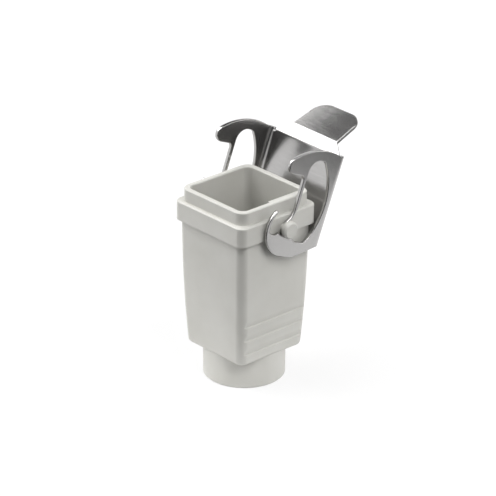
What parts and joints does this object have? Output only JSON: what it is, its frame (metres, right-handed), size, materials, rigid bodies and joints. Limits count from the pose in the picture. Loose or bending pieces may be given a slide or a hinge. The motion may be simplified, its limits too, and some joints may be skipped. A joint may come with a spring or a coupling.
{
  "type": "heavy-duty connector hood",
  "caption": "Square tapered connector hood with a round cable entry, grip grooves and a swinging sheet-metal locking lever with hooks.",
  "frame": {"origin": "centre of the cable entry's end face", "axes": "+Z from the cable entry to the mating mouth, +X towards the lever's back plate, +Y along the lever's axis"},
  "size_m": [0.0489, 0.033, 0.0665],
  "materials": {
    "shell_plastic": "satin light grey",
    "lever_steel": "fine brushed stainless"
  },
  "bodies": {
    "hood": {"hood_shell": "shell_plastic"},
    "lever": {"locking_lever": "lever_steel"}
  },
  "joints": [
    {"name": "lever_swing", "type": "hinge", "parent": "hood", "child": "lever", "pos_m": [0.00165, 0, 0.0464], "axis": [0, 1, 0], "range_deg": [-22.34, 0]}
  ]
}
